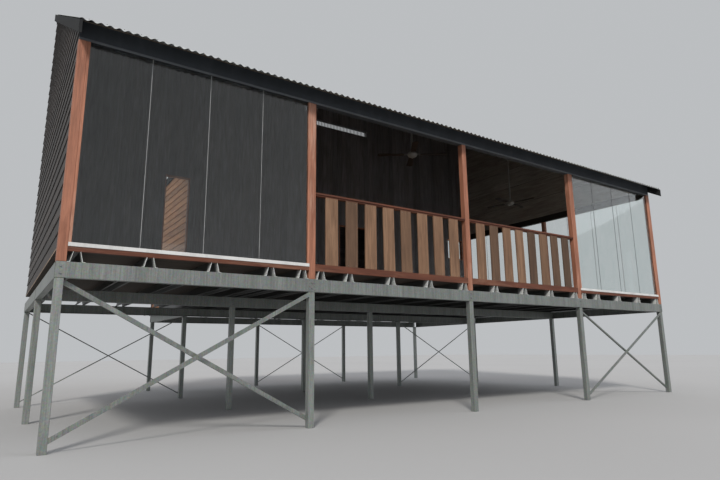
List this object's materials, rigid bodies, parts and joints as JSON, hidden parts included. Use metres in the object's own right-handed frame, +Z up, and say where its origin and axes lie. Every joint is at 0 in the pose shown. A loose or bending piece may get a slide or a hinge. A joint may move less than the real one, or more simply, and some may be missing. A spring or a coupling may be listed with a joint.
{
  "type": "bird hide",
  "caption": "Raised bird hide on steel stumps with an open slatted front, frameless glass end bays, high single-pitch roof over a vent slot, and a rear lean-to.",
  "frame": {"origin": "centre of the footprint at ground level, under the lowest foot", "axes": "+X to the right along the long front, +Y from the front to the back, +Z up"},
  "size_m": [11.35, 8.7, 7.7607],
  "materials": {
    "galvanised_steel": "hot-dip galvanised, dull",
    "bright_zinc": "bright galvanised",
    "deck_ply": "matt",
    "red_timber": "oil stained, satin",
    "tan_timber": "matt",
    "white_aluminium": "powder coated",
    "clear_glass": "polished",
    "dark_boarding": "dark stained, matt",
    "dark_steel": "satin",
    "roof_timber": "stained, matt",
    "roof_zinc": "zinc coated ribbed sheet",
    "orange_weatherboard": "oil stained, satin",
    "fan_enamel": "enamel"
  },
  "bodies": {
    "root": {"stumps_front": "galvanised_steel", "stumps_middle": "galvanised_steel", "stumps_back": "galvanised_steel", "stumps_rear": "galvanised_steel", "bearer_front": "galvanised_steel", "bearer_middle": "galvanised_steel", "bearer_back": "galvanised_steel", "bearer_rear": "galvanised_steel", "bearers_ends": "galvanised_steel", "joists_left": "bright_zinc", "joists_main": "bright_zinc", "floor_deck": "deck_ply", "front_struts": "galvanised_steel", "back_rods": "galvanised_steel", "posts_front": "red_timber", "posts_right_end": "red_timber", "rim_boards": "red_timber", "front_sills": "white_aluminium", "floor_sills": "white_aluminium", "glass_front": "clear_glass", "glass_right_end": "clear_glass", "glass_back": "clear_glass", "balustrade_rails": "red_timber", "balustrade_slats": "tan_timber", "left_wall": "dark_boarding", "right_tie_beam": "dark_boarding", "right_gable_wall": "dark_boarding", "back_wall": "dark_boarding", "eave_beam": "dark_steel", "main_rafters": "roof_timber", "high_plate": "roof_timber", "main_purlins": "roof_timber", "main_roof_sheet": "roof_zinc", "high_fascia": "dark_steel", "barge_boards": "dark_steel", "lean_to_end_walls": "orange_weatherboard", "lean_to_rear_wall": "orange_weatherboard", "lean_to_rafters": "roof_timber", "lean_to_purlins": "roof_timber", "lean_to_roof_sheet": "roof_zinc", "lean_to_barges": "dark_steel", "fan_rods": "fan_enamel"},
    "front_fan": {"front_fan_rotor": "fan_enamel"},
    "right_fan": {"right_fan_rotor": "fan_enamel"}
  },
  "joints": [
    {"name": "front_fan_spin", "type": "hinge", "parent": "root", "child": "front_fan", "pos_m": [0, -2.79, 4.427], "axis": [0, 0, 1], "continuous": true},
    {"name": "right_fan_spin", "type": "hinge", "parent": "root", "child": "right_fan", "pos_m": [4.2, -1.47, 4.427], "axis": [0, 0, 1], "continuous": true}
  ]
}
